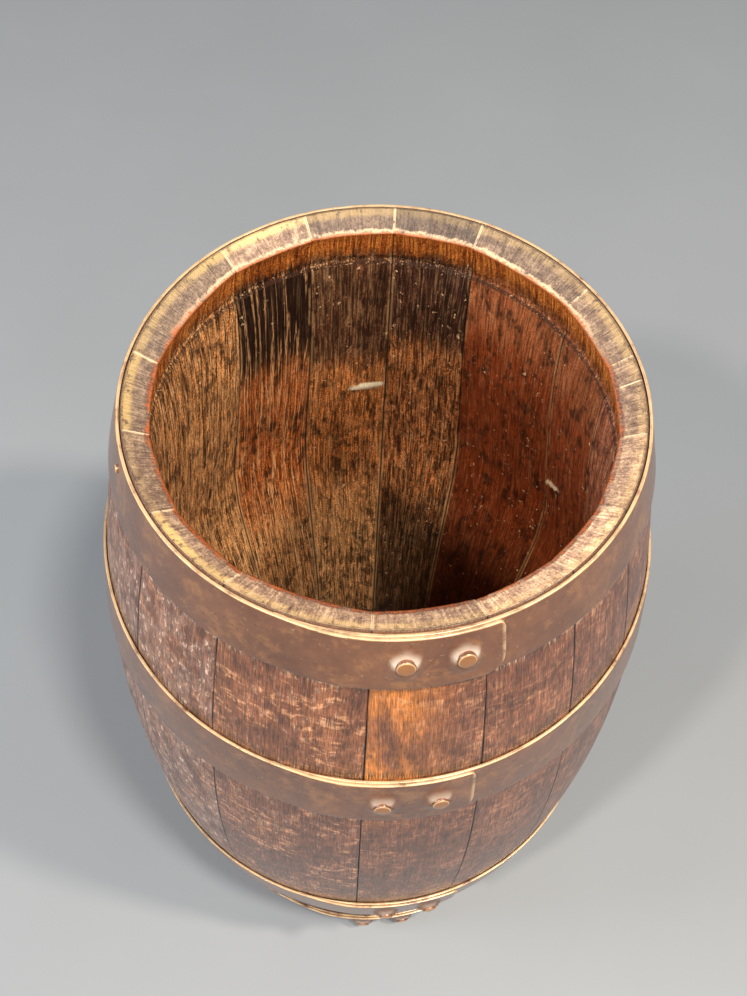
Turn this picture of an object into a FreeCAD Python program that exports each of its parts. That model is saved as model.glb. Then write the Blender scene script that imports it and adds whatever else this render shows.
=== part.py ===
import FreeCAD, Part
import math
import os
from FreeCAD import Placement, Rotation, Vector

# An open-topped oak cask: bowed staves held by four riveted iron hoops, with a
# doweled board head let into a groove at the foot. Millimetres and degrees,
# +Z up along the cask's axis, origin at the centre of the foot, front towards -Y.

# Staves
stave_length = 568.0        # along the cask's axis
end_radius = 147.5          # outside of the wood at both ends
bilge_radius = 186.0        # outside of the wood at mid height
stave_wall = 23.0           # wood beside a joint, square to the outside
stave_widths = [59.0, 53.0, 49.0, 54.0, 56.0, 56.0, 81.0, 57.0, 58.0, 59.0, 94.0, 56.0, 58.0, 59.0, 80.0]
first_joint_angle = -90.0   # the joint at the middle of the front

# Stave ends
chime_wall = 15.0           # wood at the rim
chime_land = 2.0            # flat ring left outside the bevel
chime_drop = 8.0            # the bevel falls this much towards the inside
howel_height = 33.0         # from the end to the groove
howel_wall = 19.5           # wood beside the groove
howel_hollow = 1.0          # depth of the howel's curve
croze_width = 5.0           # groove that holds the head
croze_depth = 4.5

# Head
head_thickness = 18.0
head_clearance = 0.15       # all round the tongue in its groove
head_bevel = 24.0           # width of the bevel on the outer face
head_board_widths = [52.0, 60.0, 64.0, 57.0, 51.0]
dowel_radius = 4.0
dowel_length = 28.0
dowel_spread = 0.5          # place along each joint, as a share of its half length

# Hoops
hoop_thickness = 2.0
hoop_clearance = 0.15       # between the hoops and the wood
chime_hoop_width = 38.0
chime_hoop_inset = 1.0      # the hoop's edge from the end of the wood
bilge_hoop_width = 44.0
bilge_hoop_inset = 127.0    # the hoop's nearer edge from the end of the wood
upper_bilge_tilt = 3.0      # the upper bilge hoop was driven lower at the front
lap_length = 76.0           # the strip's end lies this far over its start
lap_top_corner = 4.0        # rounding of the upper corner of the strip's outer end
lap_low_corner = 12.0
lap_end_angles = {
    "top_chime": -64.0,
    "upper_bilge": -68.5,
    "lower_bilge": -65.0,
    "bottom_chime": -67.0,
}

# Rivets and nail
rivet_edge = 22.0           # the first rivet from the strip's end
rivet_pitches = {"top_chime": 30.0, "upper_bilge": 33.0, "lower_bilge": 33.0, "bottom_chime": 33.0}
rivet_head_radius = 5.5
rivet_head_height = 4.8
rivet_crown_radius = 4.7    # the flat of the head, inside its rounded edge
rivet_shank_radius = 3.2
rivet_clearance = 0.05
nail_angle = 200.0
nail_drop = 12.0            # below the end of the wood
nail_head_radius = 2.8
nail_crown_radius = 2.0     # the flat of the head
nail_head_height = 1.2
nail_shank_radius = 1.2
nail_length = 14.0          # into the wood
nail_clearance = 0.05

# Shape of the bow: one arc through both ends and the bilge
mid_height = stave_length / 2
sagitta = bilge_radius - end_radius
bow_radius = (mid_height ** 2 + sagitta ** 2) / (2 * sagitta)
bow_centre = bilge_radius - bow_radius
axis_start = Vector(0, 0, 0)
axis_up = Vector(0, 0, 1)


def wood_radius(z, offset=0.0):
    """Radius of the staves' outside at a height, or of a surface offset from it."""
    return bow_centre + math.sqrt((bow_radius + offset) ** 2 - (z - mid_height) ** 2)


def bow_arc(low, high, offset=0.0, share=1.0):
    """Arc of the bow between two heights, drawn in from the axis by a share."""
    points = [Vector(share * wood_radius(z, offset), 0, z) for z in (low, (low + high) / 2, high)]
    return Part.Arc(*points).toShape()


def closed_face(edges):
    return Part.Face(Part.Wire(edges))


def lines(*points):
    return [Part.LineSegment(a, b).toShape() for a, b in zip(points, points[1:])]


def turned(solid, angle):
    return solid.rotated(axis_start, axis_up, angle)


def band_profile(low, high, inner_offset, outer_offset):
    """Section of a layer that lies on the bow between two heights."""
    outer = bow_arc(low, high, outer_offset)
    inner = bow_arc(low, high, inner_offset)
    outer_low, outer_high = outer.Vertexes[0].Point, outer.Vertexes[-1].Point
    inner_low, inner_high = inner.Vertexes[0].Point, inner.Vertexes[-1].Point
    return closed_face([outer, *lines(outer_high, inner_high), inner, *lines(inner_low, outer_low)])


def howel_foot_radius():
    return wood_radius(howel_height) - howel_wall


def croze_radius():
    return howel_foot_radius() + croze_depth


def end_cutter():
    """Solid that shapes the foot of every stave: bevel, howel and croze groove."""
    rim = Vector(end_radius - chime_land, 0, 0)
    lip = Vector(end_radius - chime_wall, 0, chime_drop)
    foot = Vector(howel_foot_radius(), 0, howel_height)
    hollow = (lip + foot) / 2 + Vector(howel_hollow, 0, 0)
    groove = Vector(croze_radius(), 0, howel_height)
    groove_top = groove + Vector(0, 0, croze_width)
    edges = lines(Vector(rim.x, 0, -1), rim, lip)
    edges.append(Part.Arc(lip, hollow, foot).toShape())
    edges += lines(foot, groove, groove_top, Vector(0, 0, groove_top.z), Vector(0, 0, -1), Vector(rim.x, 0, -1))
    return closed_face(edges).revolve(axis_start, axis_up, 360)


def stave(joint_angle, span, cutters):
    """One stave: round outside, planed flat across inside, with planar radial joints."""
    outer = bow_arc(0, stave_length)
    foot, top = outer.Vertexes[0].Point, outer.Vertexes[-1].Point
    wedge = closed_face([outer, *lines(top, Vector(0, 0, stave_length), Vector(0, 0, 0), foot)])
    blank = turned(wedge.revolve(axis_start, axis_up, span), joint_angle)

    half_span = math.radians(span / 2)
    inner = bow_arc(-1, stave_length + 1, -stave_wall, math.cos(half_span))
    foot, top = inner.Vertexes[0].Point, inner.Vertexes[-1].Point
    hollow = closed_face([inner, *lines(top, Vector(-1, 0, top.z), Vector(-1, 0, foot.z), foot)])
    reach = Vector(0, bilge_radius, 0)
    hollow = turned(hollow.translated(-reach).extrude(2 * reach), joint_angle + span / 2)
    return blank.cut([hollow, *cutters])


def head_boards():
    """Boards of the head, their dowel holes bored, and the dowels."""
    radius = croze_radius() - head_clearance
    low = howel_height + head_clearance
    high = howel_height + croze_width - head_clearance
    tongue_root = howel_foot_radius() - head_clearance
    section = lines(
        Vector(0, 0, high),
        Vector(radius, 0, high),
        Vector(radius, 0, low),
        Vector(tongue_root, 0, low),
        Vector(tongue_root - head_bevel, 0, high - head_thickness),
        Vector(0, 0, high - head_thickness),
        Vector(0, 0, high),
    )
    head = closed_face(section).revolve(axis_start, axis_up, 360)

    scale = 2 * radius / sum(head_board_widths)
    edges = [-radius]
    for width in head_board_widths:
        edges.append(edges[-1] + width * scale)

    dowels = []
    flat_radius = tongue_root - head_bevel
    for x in edges[1:-1]:
        half_joint = math.sqrt(flat_radius ** 2 - (abs(x) + dowel_length / 2) ** 2)
        for y in (-dowel_spread * half_joint, dowel_spread * half_joint):
            start = Vector(x - dowel_length / 2, y, high - head_thickness / 2)
            dowels.append(Part.makeCylinder(dowel_radius, dowel_length, start, Vector(1, 0, 0)))

    boards = []
    for left, right in zip(edges, edges[1:]):
        corner = Vector(left, -radius, high - head_thickness - 1)
        cutout = Part.makeBox(right - left, 2 * radius, head_thickness + 2, corner)
        boards.append(head.common(cutout).cut(dowels))
    return boards, dowels


def surface_placement(angle, z, offset):
    """Placement whose +Z points out of the cask, square to its surface."""
    slope = math.degrees(math.asin((z - mid_height) / bow_radius))
    point = Vector(wood_radius(z, 0), 0, z)
    outward = Vector(math.cos(math.radians(slope)), 0, math.sin(math.radians(slope)))
    upright = Placement(point + outward * offset, Rotation(axis_up, outward))
    return Placement(axis_start, Rotation(axis_up, angle)).multiply(upright)


def headed_pin(shank_radius, shank_length, head_radius, crown_radius, head_height):
    """A pin along +Z with the underside of its head at the origin."""
    edge = head_radius - crown_radius
    shoulder = Vector(head_radius, 0, head_height - edge)
    crown = Vector(crown_radius, 0, head_height)
    bulge = Vector(crown_radius + edge * math.sqrt(0.5), 0, head_height - edge * (1 - math.sqrt(0.5)))
    edges = lines(crown, Vector(0, 0, head_height), Vector(0, 0, -shank_length))
    edges += lines(Vector(0, 0, -shank_length), Vector(shank_radius, 0, -shank_length), Vector(shank_radius, 0, 0))
    edges += lines(Vector(shank_radius, 0, 0), Vector(head_radius, 0, 0), shoulder)
    edges.append(Part.Arc(shoulder, bulge, crown).toShape())
    return closed_face(edges).revolve(axis_start, axis_up, 360)


def hoop(low, width, tilt, lap_end_angle, rivet_pitch):
    """A strip hoop with a riveted lap, and its two rivets."""
    centre = low + width / 2
    reach = bilge_radius + 10 * hoop_thickness
    spare = reach * math.sin(math.radians(tilt))
    slab = Part.makeBox(2 * reach, 2 * reach, width, Vector(-reach, -reach, low))
    slab.rotate(Vector(0, 0, centre), Vector(1, 0, 0), tilt)  # lifts the back, so the front sits lower

    low_z, high_z = low - spare, low + width + spare
    lap_inside = hoop_clearance + hoop_thickness
    lap_outside = lap_inside + hoop_thickness
    ring = band_profile(low_z, high_z, hoop_clearance, lap_inside).revolve(axis_start, axis_up, 360)
    radius = wood_radius(centre)
    lap_span = math.degrees(lap_length / radius)
    layer = band_profile(low_z, high_z, lap_inside, lap_outside)
    layer = turned(layer.revolve(axis_start, axis_up, lap_span), lap_end_angle - lap_span)

    front_drop = math.radians(tilt)
    rivets = []
    holes = []
    for place in (rivet_edge, rivet_edge + rivet_pitch):
        angle = lap_end_angle - math.degrees(place / radius)
        z = centre + radius * math.sin(math.radians(angle)) * math.tan(front_drop)
        seat = surface_placement(angle, z, lap_outside)
        pin = headed_pin(rivet_shank_radius, lap_outside, rivet_head_radius,
                         rivet_crown_radius, rivet_head_height)
        pin.Placement = seat
        rivets.append(pin)
        hole = Part.makeCylinder(rivet_shank_radius + rivet_clearance, 6 * hoop_thickness,
                                 Vector(0, 0, -4 * hoop_thickness))
        hole.Placement = seat.multiply(hole.Placement)
        holes.append(hole)
    layer = layer.common(rounded_end(lap_end_angle, lap_span, radius, centre, width, tilt))
    strip = ring.common(slab).fuse(layer).cut(holes)
    return strip, rivets


def rounded_end(end_angle, span, radius, centre, width, tilt):
    """Prism of the lap's outline, which rounds the two corners of the strip's end."""
    half = width / 2
    reach = radius * math.sin(math.radians(span / 2))
    top, low = lap_top_corner, lap_low_corner
    top_cut, low_cut = (r * (1 - math.sqrt(0.5)) for r in (top, low))
    top_arc = Part.Arc(Vector(reach - top, 0, half), Vector(reach - top_cut, 0, half - top_cut),
                       Vector(reach, 0, half - top))
    low_arc = Part.Arc(Vector(reach, 0, low - half), Vector(reach - low_cut, 0, low_cut - half),
                       Vector(reach - low, 0, -half))
    far = -2 * reach
    edges = lines(Vector(far, 0, half), Vector(reach - top, 0, half))
    edges.append(top_arc.toShape())
    edges += lines(Vector(reach, 0, half - top), Vector(reach, 0, low - half))
    edges.append(low_arc.toShape())
    edges += lines(Vector(reach - low, 0, -half), Vector(far, 0, -half), Vector(far, 0, half))
    prism = closed_face(edges).extrude(Vector(0, -2 * bilge_radius, 0))
    middle = end_angle - span / 2
    prism = turned(prism, middle + 90)
    prism.translate(Vector(0, 0, centre))
    prism.rotate(Vector(0, 0, centre), Vector(1, 0, 0), tilt)
    return prism


def write(name, *solids):
    shape = solids[0] if len(solids) == 1 else Part.makeCompound(list(solids))
    shape.exportStep(f"parts/{name}.step")


os.makedirs("parts", exist_ok=True)

hoop_plan = {
    "bottom_chime": (chime_hoop_inset, chime_hoop_width, 0.0),
    "lower_bilge": (bilge_hoop_inset, bilge_hoop_width, 0.0),
    "upper_bilge": (stave_length - bilge_hoop_inset - bilge_hoop_width, bilge_hoop_width, upper_bilge_tilt),
    "top_chime": (stave_length - chime_hoop_inset - chime_hoop_width, chime_hoop_width, 0.0),
}
nail_seat = hoop_clearance + hoop_thickness
nail_place = surface_placement(nail_angle, stave_length - nail_drop, nail_seat)
nail = headed_pin(nail_shank_radius, nail_seat + nail_length, nail_head_radius,
                  nail_crown_radius, nail_head_height)
nail.Placement = nail_place
nail_bore = Part.makeCylinder(nail_shank_radius + nail_clearance, nail_seat + nail_length + hoop_thickness,
                              Vector(0, 0, -nail_seat - nail_length))
nail_bore.Placement = nail_place.multiply(nail_bore.Placement)
write("hoop_nail", nail)

for name, (low, width, tilt) in hoop_plan.items():
    strip, rivets = hoop(low, width, tilt, lap_end_angles[name], rivet_pitches[name])
    if name == "top_chime":
        strip = strip.cut(nail_bore)
    write(f"{name}_hoop", strip)
    write(f"{name}_rivets", *rivets)

foot_cutter = end_cutter()
cutters = [foot_cutter, foot_cutter.mirror(Vector(0, 0, mid_height), axis_up), nail_bore]
joint_angle = first_joint_angle
for number, width in enumerate(stave_widths, start=1):
    span = 360 * width / sum(stave_widths)
    write(f"stave_{number:02d}", stave(joint_angle, span, cutters))
    joint_angle += span

boards, dowels = head_boards()
for number, board in enumerate(boards, start=1):
    write(f"head_board_{number}", board)
write("head_dowels", *dowels)
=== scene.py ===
import bpy
import math
import numpy as np
from mathutils import Matrix, Vector


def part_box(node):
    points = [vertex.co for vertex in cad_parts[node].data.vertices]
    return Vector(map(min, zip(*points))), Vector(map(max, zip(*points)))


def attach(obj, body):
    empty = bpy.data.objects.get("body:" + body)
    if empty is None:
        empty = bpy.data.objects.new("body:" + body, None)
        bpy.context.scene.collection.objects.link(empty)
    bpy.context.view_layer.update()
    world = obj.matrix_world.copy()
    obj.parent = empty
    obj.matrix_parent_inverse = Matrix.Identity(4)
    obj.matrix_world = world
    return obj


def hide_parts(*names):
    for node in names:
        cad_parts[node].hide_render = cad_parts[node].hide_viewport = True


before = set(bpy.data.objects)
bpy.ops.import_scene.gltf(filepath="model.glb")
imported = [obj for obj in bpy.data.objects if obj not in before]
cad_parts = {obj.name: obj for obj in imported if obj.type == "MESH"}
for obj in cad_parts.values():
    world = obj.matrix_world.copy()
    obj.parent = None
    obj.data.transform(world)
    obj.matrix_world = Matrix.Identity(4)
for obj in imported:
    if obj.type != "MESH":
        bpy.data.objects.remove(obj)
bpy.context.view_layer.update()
from types import SimpleNamespace

scene = bpy.context.scene
mm = 0.001


# Node maths

class Wire:                                     # a node's output, so that a sum on wires reads as a sum
    def __init__(self, tree, socket=None):
        self.tree = tree
        self.socket = socket

    def node(self, kind, settings=None, sockets=None, out=0):
        made = self.tree.nodes.new(kind)
        for name, value in (settings or {}).items():
            if name == "stops":
                self.fillRamp(made.color_ramp, value)
            else:
                setattr(made, name, value)
        for place, value in (sockets or {}).items():
            if isinstance(value, Wire):
                self.tree.links.new(value.socket, made.inputs[place])
            else:
                made.inputs[place].default_value = value
        return Wire(self.tree, made.outputs[out])

    def fillRamp(self, ramp, stops):
        while len(ramp.elements) < len(stops):
            ramp.elements.new(1.0)
        for element, (place, colour) in zip(ramp.elements, stops):
            element.position = place
            element.color = (*colour, 1)

    def maths(self, operation, *values):
        return self.node("ShaderNodeMath", {"operation": operation}, dict(enumerate(values)))

    def __add__(self, other):
        return self.maths("ADD", self, other)

    def __radd__(self, other):
        return self.maths("ADD", other, self)

    def __sub__(self, other):
        return self.maths("SUBTRACT", self, other)

    def __rsub__(self, other):
        return self.maths("SUBTRACT", other, self)

    def __mul__(self, other):
        return self.maths("MULTIPLY", self, other)

    def __rmul__(self, other):
        return self.maths("MULTIPLY", other, self)

    def __truediv__(self, other):
        return self.maths("DIVIDE", self, other)

    def __rtruediv__(self, other):
        return self.maths("DIVIDE", other, self)

    def __pow__(self, other):
        return self.maths("POWER", self, other)

    def least(self, other):
        return self.maths("MINIMUM", self, other)

    def most(self, other):
        return self.maths("MAXIMUM", self, other)

    def above(self, other):
        return self.maths("GREATER_THAN", self, other)

    def below(self, other):
        return self.maths("LESS_THAN", self, other)

    def sine(self):
        return self.maths("SINE", self)

    def cosine(self):
        return self.maths("COSINE", self)

    def absolute(self):
        return self.maths("ABSOLUTE", self)

    def root(self):
        return self.maths("SQRT", self)

    def ramp(self, low, high, start=0.0, end=1.0, kind="SMOOTHSTEP"):   # from start at low to end at high
        sockets = {"Value": self, "From Min": low, "From Max": high, "To Min": start, "To Max": end}
        return self.node("ShaderNodeMapRange", {"interpolation_type": kind}, sockets)

    def parts(self):
        made = self.node("ShaderNodeSeparateXYZ", None, {0: self}).socket.node
        return [Wire(self.tree, output) for output in made.outputs]

    def vector(self, x, y, z):
        return self.node("ShaderNodeCombineXYZ", None, {0: x, 1: y, 2: z})

    def moved(self, x, y, z):
        return self.node("ShaderNodeVectorMath", {"operation": "ADD"}, {0: self, 1: (x, y, z)})

    def noise(self, scale, detail=3.0, roughness=0.55, distortion=0.0):
        sockets = {"Vector": self, "Scale": scale, "Detail": detail, "Roughness": roughness,
                   "Distortion": distortion}
        return self.node("ShaderNodeTexNoise", None, sockets)

    def streaks(self, x, y, z, detail=3.0, roughness=0.55, distortion=0.0):    # noise, finer along some axes
        finer = self.node("ShaderNodeVectorMath", {"operation": "MULTIPLY"}, {0: self, 1: (x, y, z)})
        return finer.noise(1.0, detail, roughness, distortion)

    def coloured(self, stops):
        return self.node("ShaderNodeValToRGB", {"stops": stops}, {0: self})

    def mixed(self, other, share, blend="MIX"):         # this colour towards another by a share
        settings = {"data_type": "RGBA", "blend_type": blend, "clamp_factor": True}
        colour = other if isinstance(other, Wire) else (*other, 1)
        return self.node("ShaderNodeMix", settings, {0: share, 6: self, 7: colour}, 2)

    def shaded(self, brightness):                       # this colour times a brightness
        return self.mixed(self.tint(brightness, brightness, brightness), 1.0, "MULTIPLY")

    def tint(self, red, green, blue):
        return self.node("ShaderNodeCombineColor", None, {0: red, 1: green, 2: blue})

    def stored(self, name, output="Vector"):            # an attribute of the mesh, in a material
        return self.node("ShaderNodeAttribute", {"attribute_name": name}, None, output)


# Shape read from the frame

def polar(node):                                # angle, radius and height of a CAD node's corners
    points = np.array([v.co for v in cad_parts[node].data.vertices])
    return np.arctan2(points[:, 1], points[:, 0]), np.hypot(points[:, 0], points[:, 1]), points[:, 2]


def spanOf(node):                               # first and last angle of a CAD node, round the axis
    angle, radius, height = polar(node)
    middle = math.atan2((radius * np.sin(angle)).mean(), (radius * np.cos(angle)).mean())
    away = (angle - middle + math.pi) % (2 * math.pi) - math.pi
    return middle + away.min(), middle + away.max()


staveNodes = sorted(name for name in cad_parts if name.startswith("stave_"))
hoopNodes = sorted(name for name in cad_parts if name.endswith("_hoop"))
rivetNodes = sorted(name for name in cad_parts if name.endswith("_rivets"))
boardNodes = sorted(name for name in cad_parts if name.startswith("head_board"))

barrel = {"length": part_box(staveNodes[0])[1].z}
barrel["middle"] = barrel["length"] / 2
barrel["endRadius"] = max(polar(name)[1][polar(name)[2] < mm].max() for name in staveNodes)
barrel["bilgeRadius"] = max(polar(name)[1].max() for name in staveNodes)
sagitta = barrel["bilgeRadius"] - barrel["endRadius"]
barrel["bowRadius"] = (barrel["middle"] ** 2 + sagitta ** 2) / (2 * sagitta)
barrel["bowCentre"] = barrel["bilgeRadius"] - barrel["bowRadius"]


def bow(height, offset=0.0):                    # radius of the wood's outside at a height, or off it
    reach = (barrel["bowRadius"] + offset) ** 2 - (height - barrel["middle"]) ** 2
    return barrel["bowCentre"] + reach ** 0.5


def newTree(name, inputs):                      # an empty geometry tree with named inputs
    tree = bpy.data.node_groups.new(name, "GeometryNodeTree")
    tree.interface.new_socket("Geometry", in_out="OUTPUT", socket_type="NodeSocketGeometry")
    tree.interface.new_socket("Geometry", in_out="INPUT", socket_type="NodeSocketGeometry")
    for label, kind in inputs.items():
        tree.interface.new_socket(label, in_out="INPUT", socket_type="NodeSocket" + kind)
    start = tree.nodes.new("NodeGroupInput")
    wires = {label: Wire(tree, start.outputs[label]) for label in ["Geometry", *inputs]}
    return tree, wires


def closeTree(tree, geometry, material):        # joins seams, sets the material and makes instances real
    w = Wire(tree)
    geometry = w.node("GeometryNodeMergeByDistance", None, {"Geometry": geometry, "Distance": 0.00001})
    geometry = w.node("GeometryNodeSetShadeSmooth", None, {"Geometry": geometry})
    geometry = w.node("GeometryNodeRealizeInstances", None, {"Geometry": geometry})
    geometry = w.node("GeometryNodeSetMaterial", None, {"Geometry": geometry, "Material": material})
    end = tree.nodes.new("NodeGroupOutput")
    tree.links.new(geometry.socket, end.inputs["Geometry"])


def grow(name, tree, values, start=None):       # runs a tree and returns its result as a plain mesh object
    source = start or bpy.data.meshes.new(name + " seed")
    grown = bpy.data.objects.new(name + " grown", source)
    scene.collection.objects.link(grown)
    modifier = grown.modifiers.new("tree", "NODES")
    modifier.node_group = tree
    for item in tree.interface.items_tree:
        if item.item_type == "SOCKET" and item.in_out == "INPUT" and item.name in values:
            modifier[item.identifier] = values[item.name]
    bpy.context.view_layer.update()
    mesh = bpy.data.meshes.new_from_object(grown.evaluated_get(bpy.context.evaluated_depsgraph_get()))
    mesh.name = name
    bpy.data.objects.remove(grown)
    if "param" in mesh.attributes:
        mesh.attributes.remove(mesh.attributes["param"])
    piece = bpy.data.objects.new(name, mesh)
    scene.collection.objects.link(piece)
    return piece


def seated(piece, nodes):                 # the piece stands for these CAD nodes
    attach(piece, "root")
    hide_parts(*nodes)


def gridOf(tree, across, along):                # a flat grid with its place kept as param, 0 to 1
    w = Wire(tree)
    sockets = {"Size X": 1.0, "Size Y": 1.0, "Vertices X": across, "Vertices Y": along}
    mesh = w.node("GeometryNodeMeshGrid", None, sockets)
    place = w.node("GeometryNodeInputPosition").moved(0.5, 0.5, 0.0)
    kept = keep(tree, mesh, "param", place)
    param = w.node("GeometryNodeInputNamedAttribute", {"data_type": "FLOAT_VECTOR"}, {"Name": "param"})
    u, v, _ = param.parts()
    return kept, u, v


def keep(tree, geometry, name, value, kind="FLOAT_VECTOR"):
    settings = {"data_type": kind, "domain": "POINT"}
    return Wire(tree).node("GeometryNodeStoreNamedAttribute", settings,
                           {"Geometry": geometry, "Name": name, "Value": value})


def sectionOf(place, faceSteps, sideSteps):     # round a slab's section: outer face, side, inner face, side
    outer = (place / faceSteps).least(1.0)
    inner = ((place - faceSteps - sideSteps) / faceSteps).most(0.0).least(1.0)
    down = ((place - faceSteps) / sideSteps).most(0.0).least(1.0)
    up = ((place - 2 * faceSteps - sideSteps) / sideSteps).most(0.0).least(1.0)
    return outer - inner, down - up


def gathered(share, strength):                  # crowds steps towards both ends of 0 to 1
    return share - (share * (2 * math.pi)).sine() * (strength / (2 * math.pi))


def roundedEdge(distance, radius):              # how far a rounded edge falls away, this far from the corner
    short = (radius * math.sqrt(0.5) - distance).most(0.0)
    return radius - (radius * radius - short * short) ** 0.5


# Staves

stave = {
    "stepAcross": 1.9 * mm,
    "sideSteps": 5,
    "stepsAlong": 270,
    "wall": 23.0 * mm,
    "chimeWall": 15.0 * mm,
    "chimeLand": 2.0 * mm,
    "chimeDrop": 8.0 * mm,
    "howelHeight": 33.0 * mm,
    "howelWall": 19.5 * mm,
    "howelHollow": 1.0 * mm,
    "crozeWidth": 5.0 * mm,
    "crozeDepth": 0.8 * mm,         # the groove is cut shallow, with painted shade over its foot and the ledge below
    "footLedge": 0.6 * mm,          # the planks are dished round above the howel, down to footFade
    "footFade": 260.0 * mm,
    "jointGap": 0.25 * mm,          # at the faces; the joint closes 3 mm in
    "jointDepth": 3.0 * mm,
    "arris": 0.40 * mm,
    "lipFlat": 0.35,                # how far each lip keeps the flat of its plank
    "changeLow": 180.0 * mm,        # below this height a plank has its low colour
    "changeSpan": 45.0 * mm,
}


def endShape(fromEnd, lipLoss):                 # inside radius that bevel, howel and croze leave near an end
    foot = bow(stave["howelHeight"]) - stave["howelWall"]
    lip = barrel["endRadius"] - stave["chimeWall"] - lipLoss
    rim = barrel["endRadius"] - stave["chimeLand"]
    bevel = fromEnd.ramp(0.0, stave["chimeDrop"], rim, lip, "LINEAR")
    run = fromEnd.ramp(stave["chimeDrop"], stave["howelHeight"], kind="LINEAR")
    howel = run * (foot - lip) + lip + run * (1 - run) * (4 * stave["howelHollow"])
    groove = fromEnd.above(stave["howelHeight"]) * stave["crozeDepth"]
    cut = fromEnd.below(stave["chimeDrop"]) * bevel + fromEnd.above(stave["chimeDrop"]) * (howel + groove)
    return cut * fromEnd.below(stave["howelHeight"] + stave["crozeWidth"])


def staveTree():
    inputs = {"Joint": "Float", "Span": "Float", "Seed": "Float", "Face Steps": "Int",
              "End Loss": "Float", "Lip": "Float", "Chip": "Vector", "Chip Size": "Vector",
              "Top Colour": "Color", "Middle Colour": "Color", "Low Colour": "Color",
              "Change High": "Float", "Change Low": "Float", "Tone": "Vector", "Rim": "Vector",
              "Material": "Material"}
    tree, given = newTree("coopered stave", inputs)
    w = Wire(tree)
    faceSteps, sideSteps = given["Face Steps"], stave["sideSteps"]
    around = 2 * (faceSteps + sideSteps)
    along = stave["stepsAlong"]
    mesh, u, v = gridOf(tree, around + 1, along + 1)
    across, depth = sectionOf(u * around, faceSteps, sideSteps)
    row = v * along
    cap = 1 - row.least(along - row).least(1.0)     # the first and last rows close the ends
    across = gathered(across, 0.8)
    depth = gathered(depth, 0.6)
    depth = depth + (0.5 - depth) * cap
    height = gathered(((row - 1) / (along - 2)).most(0.0).least(1.0), 0.97) * barrel["length"]
    fromEnd = height.least(barrel["length"] - height)

    outside = bow(height)
    width = outside * given["Span"]
    grain = w.vector((across - 0.5) * width + given["Seed"], depth * stave["wall"], height)
    wander = (grain.streaks(34, 34, 9, 2.0) - 0.5) * 2.0
    slowWander = (grain.moved(3.1, 0.7, 0.0).streaks(14, 14, 4, 1.0) - 0.5) * 2.0
    ragged = (grain.streaks(260, 260, 120, 3.0) - 0.5) * 2.0

    sway = (across - 0.5) * given["Span"]
    flat = bow(height, -stave["wall"]) * (given["Span"] * 0.5).cosine() / sway.cosine()
    foot = bow(stave["howelHeight"]) - stave["howelWall"] - stave["footLedge"]
    worked = fromEnd.ramp(stave["howelHeight"] + stave["crozeWidth"], stave["footFade"], 1.0, 0.0, "LINEAR")
    worked = worked * fromEnd.above(stave["howelHeight"])
    plank = flat + (foot - flat) * worked + wander * (0.5 * mm) + slowWander * (0.8 * mm)
    polygon = 1 - (given["Span"] * 0.5).cosine() / sway.cosine()
    lipLoss = polygon * (stave["lipFlat"] * barrel["endRadius"]) + given["Lip"] + wander * (0.7 * mm)
    torn = (ragged * (2.2 * mm) + wander * (1.5 * mm)) * fromEnd.ramp(12 * mm, 30 * mm)
    end = endShape((fromEnd + torn).most(0.0), lipLoss)
    inEnd = fromEnd.below(stave["howelHeight"] + stave["crozeWidth"])
    chipAcross, chipHeight, chipTurn = given["Chip"].parts()
    chipHalf, chipThick, rough = given["Chip Size"].parts()
    beside = (across - 0.5) * width - chipAcross
    over = height - chipHeight
    longway = (beside * chipTurn.cosine() + over * chipTurn.sine()) / chipHalf
    sideway = (over * chipTurn.cosine() - beside * chipTurn.sine()) / chipThick + longway * longway * 0.5
    chip = (longway * longway + sideway * sideway + ragged * 0.5).ramp(1.0, 0.4) * depth
    worn = ragged * (0.4 * mm)
    inside = plank.most((end + worn) * inEnd) - chip * (1.2 * mm)

    edge = across.least(1 - across) * width
    outerFall = roundedEdge(edge, stave["arris"]) + roundedEdge(fromEnd, stave["arris"])
    outerFall = outerFall + (slowWander + 1.2) * (0.12 * mm) + (wander + 1.0) * (0.08 * mm)
    outer = outside - outerFall
    inner = inside + roundedEdge(edge, stave["arris"])
    radius = outer + (inner - outer) * depth
    throughWall = depth.least(1 - depth) * (outside - inside)
    sideFall = roundedEdge(throughWall, stave["arris"])
    opened = fromEnd.ramp(2 * mm, 16 * mm, 0.2, 1.0)      # joints stay tight at the ends
    parting = throughWall.ramp(stave["jointDepth"], 0.0) * stave["jointGap"] / 2
    gap = (sideFall + parting) * opened * (2 / radius)
    angle = given["Joint"] + given["Span"] / 2 + (across - 0.5) * (given["Span"] - gap)
    lowered = (given["End Loss"] + (wander + 1.0).most(0.0) * (0.35 * mm)) * fromEnd.ramp(20 * mm, 0.0)
    rise = height - lowered * height.above(barrel["middle"])
    place = w.vector(radius * angle.cosine(), radius * angle.sine(), rise)
    mesh = w.node("GeometryNodeSetPosition", None, {"Geometry": mesh, "Position": place})
    mesh = keep(tree, mesh, "grain", grain)
    mesh = keep(tree, mesh, "spot", w.vector(bow(height) - radius, fromEnd, edge))
    unevenHeight = height + wander * (6 * mm) + ragged * (12 * mm)
    change = unevenHeight.ramp(given["Change High"], given["Change High"] + stave["changeSpan"])
    plankColour = given["Middle Colour"].mixed(given["Top Colour"], change)
    goneLow = height.ramp(given["Change Low"] + 100 * mm, given["Change Low"])
    plankColour = plankColour.mixed(given["Low Colour"], goneLow)
    mesh = keep(tree, mesh, "plank", plankColour, "FLOAT_COLOR")
    mesh = keep(tree, mesh, "tone", given["Tone"])
    mesh = keep(tree, mesh, "where", place)
    mesh = keep(tree, mesh, "rim", given["Rim"])
    mesh = keep(tree, mesh, "chip", w.vector(chip, rough, 0.0))
    closeTree(tree, mesh, given["Material"])
    return tree


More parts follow.
